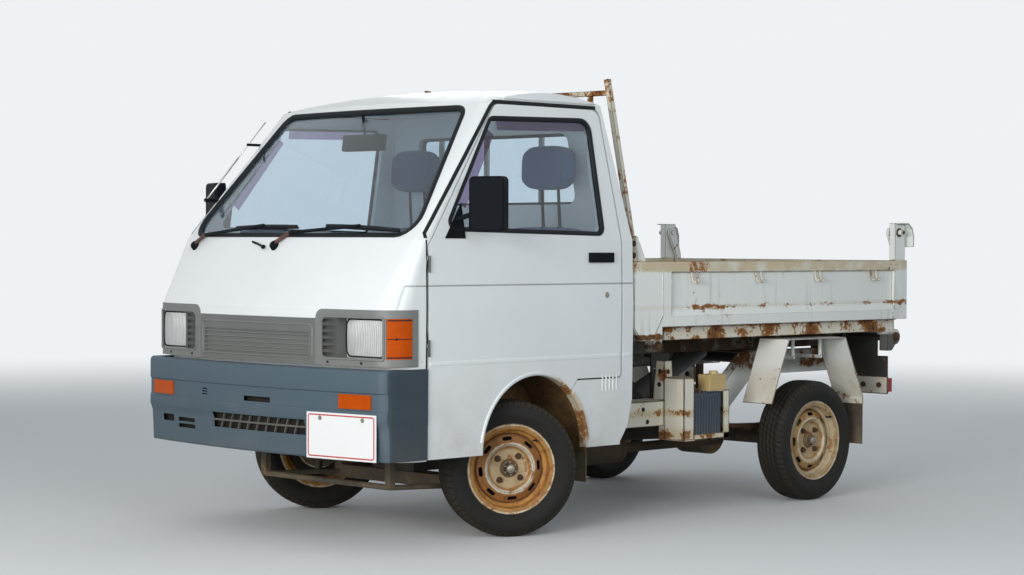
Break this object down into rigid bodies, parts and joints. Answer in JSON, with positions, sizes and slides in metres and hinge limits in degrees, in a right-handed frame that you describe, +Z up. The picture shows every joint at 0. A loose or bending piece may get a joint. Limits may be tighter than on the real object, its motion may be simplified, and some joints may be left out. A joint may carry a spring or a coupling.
{
  "type": "light dump truck",
  "caption": "Small forward-control dump truck with a boxy cab, hydraulic tipping bed, top-hung tailgate, steering front wheels and hinged doors.",
  "frame": {"origin": "on the ground, in the middle of the vehicle's length and width", "axes": "the front looks along -Y, +X is the vehicle's left, +Z is up"},
  "size_m": [1.7302, 3.2, 1.745],
  "materials": {
    "white_paint": "worn white enamel",
    "grey_paint": "worn silver-grey paint",
    "guard_paint": "worn white paint, rusting",
    "chassis_black": "dull black, dusty and rusting",
    "rusty_steel": "rusted",
    "cast_grey": "cast, dirty",
    "floor_paint": "dull, dusty",
    "glass": "clear, slightly green",
    "lamp_glass": "ribbed clear",
    "amber": "translucent amber",
    "grey_plastic": "matte",
    "bumper_plastic": "matte, faded",
    "plate": "blank white",
    "black_plastic": "matte",
    "seat_fabric": "dark woven cloth",
    "battery_case": "dusty",
    "tank_plastic": "yellowed",
    "rubber": "worn",
    "tail_lens": "translucent red",
    "tyre": "dusty",
    "bright_steel": "polished rod",
    "lift_paint": "dull black"
  },
  "bodies": {
    "chassis": {"frame_rails": "white_paint", "crossmembers": "white_paint", "cab_floor": "floor_paint", "arch_liners": "floor_paint", "front_panel": "white_paint", "windscreen_frame": "white_paint", "roof": "white_paint", "rear_wall": "white_paint", "quarter_panels": "white_paint", "cab_glass": "glass", "lamp_bezels": "grey_plastic", "grille": "grey_plastic", "headlamps": "lamp_glass", "amber_lamps": "amber", "bumper": "bumper_plastic", "number_plate": "plate", "dashboard": "black_plastic", "seat_cushions": "seat_fabric", "seat_backs": "seat_fabric", "engine": "cast_grey", "driveline": "cast_grey", "rear_axle": "chassis_black", "leaf_springs": "rusty_steel", "exhaust": "rusty_steel", "fuel_tank": "black_plastic", "battery_box": "white_paint", "battery": "battery_case", "fluid_tank": "tank_plastic", "mudguards": "white_paint", "mudflaps": "rubber", "rear_lamps": "tail_lens", "front_suspension": "chassis_black"},
    "steering_wheel": {"steering_wheel": "black_plastic"},
    "knuckle_left": {"knuckle_left": "chassis_black"},
    "knuckle_right": {"knuckle_right": "chassis_black"},
    "wheel_front_left": {"rim_front_left": "grey_paint", "tyre_front_left": "tyre"},
    "wheel_front_right": {"rim_front_right": "grey_paint", "tyre_front_right": "tyre"},
    "wheel_rear_left": {"rim_rear_left": "grey_paint", "tyre_rear_left": "tyre"},
    "wheel_rear_right": {"rim_rear_right": "grey_paint", "tyre_rear_right": "tyre"},
    "door_left": {"door_left": "white_paint", "door_glass_left": "glass", "door_fittings_left": "black_plastic"},
    "door_right": {"door_right": "white_paint", "door_glass_right": "glass", "door_fittings_right": "black_plastic"},
    "bed": {"bed_floor": "white_paint", "bed_sides": "white_paint", "headboard": "white_paint", "guard_frame": "guard_paint"},
    "tailgate": {"tailgate": "white_paint"},
    "lift_barrel": {"lift_barrel": "lift_paint"},
    "lift_rod": {"lift_rod": "bright_steel"}
  },
  "joints": [
    {"name": "steer_left", "type": "hinge", "parent": "chassis", "child": "knuckle_left", "pos_m": [0.548, -0.792, 0.175], "axis": [-0.1914, 0, 0.9815], "range_deg": [-4, 64]},
    {"name": "spin_front_left", "type": "hinge", "parent": "knuckle_left", "child": "wheel_front_left", "pos_m": [0.58772, -0.82348, 0.25619], "axis": [0.8709, -0.4908, -0.0252], "continuous": true},
    {"name": "steer_right", "type": "hinge", "parent": "chassis", "child": "knuckle_right", "pos_m": [-0.548, -0.792, 0.175], "axis": [0.1914, 0, 0.9815], "range_deg": [-4, 64]},
    {"name": "spin_front_right", "type": "hinge", "parent": "knuckle_right", "child": "wheel_front_right", "pos_m": [-0.58772, -0.76052, 0.25619], "axis": [0.8709, -0.4908, 0.0252], "continuous": true},
    {"name": "spin_rear_left", "type": "hinge", "parent": "chassis", "child": "wheel_rear_left", "pos_m": [0.596, 0.97, 0.256], "axis": [1, 0, 0], "continuous": true},
    {"name": "spin_rear_right", "type": "hinge", "parent": "chassis", "child": "wheel_rear_right", "pos_m": [-0.596, 0.97, 0.256], "axis": [1, 0, 0], "continuous": true},
    {"name": "steering_wheel_turn", "type": "hinge", "parent": "chassis", "child": "steering_wheel", "pos_m": [-0.34, -1.122, 1.01], "axis": [0, 0.5501, 0.8351], "range_deg": [-56, 896]},
    {"name": "door_left_swing", "type": "hinge", "parent": "chassis", "child": "door_left", "pos_m": [0.697, -1.326, 0.9], "axis": [0, 0, -1], "range_deg": [0, 65]},
    {"name": "door_right_swing", "type": "hinge", "parent": "chassis", "child": "door_right", "pos_m": [-0.697, -1.326, 0.9], "axis": [0, 0, 1], "range_deg": [0, 65]},
    {"name": "bed_tilt", "type": "hinge", "parent": "chassis", "child": "bed", "pos_m": [0, 1.558, 0.685], "axis": [-1, 0, 0], "range_deg": [0, 45]},
    {"name": "tailgate_swing", "type": "hinge", "parent": "bed", "child": "tailgate", "pos_m": [0, 1.52, 1.15], "axis": [1, 0, 0], "range_deg": [0, 75]},
    {"name": "barrel_tilt", "type": "hinge", "parent": "chassis", "child": "lift_barrel", "pos_m": [0, 0.498, 0.42], "axis": [1, 0, 0], "range_deg": [0, 17.34]},
    {"name": "rod_slide", "type": "slide", "parent": "lift_barrel", "child": "lift_rod", "axis": [0, 0.9193, 0.3935], "range_m": [0, 0.299]}
  ],
  "couplings": [
    {"joint": "steer_right", "follows": "steer_left", "ratio": 1},
    {"joint": "steering_wheel_turn", "follows": "steer_left", "ratio": 14},
    {"joint": "barrel_tilt", "follows": "bed_tilt", "ratio": 0.38492},
    {"joint": "rod_slide", "follows": "bed_tilt", "m_per_rad": 0.38035}
  ]
}
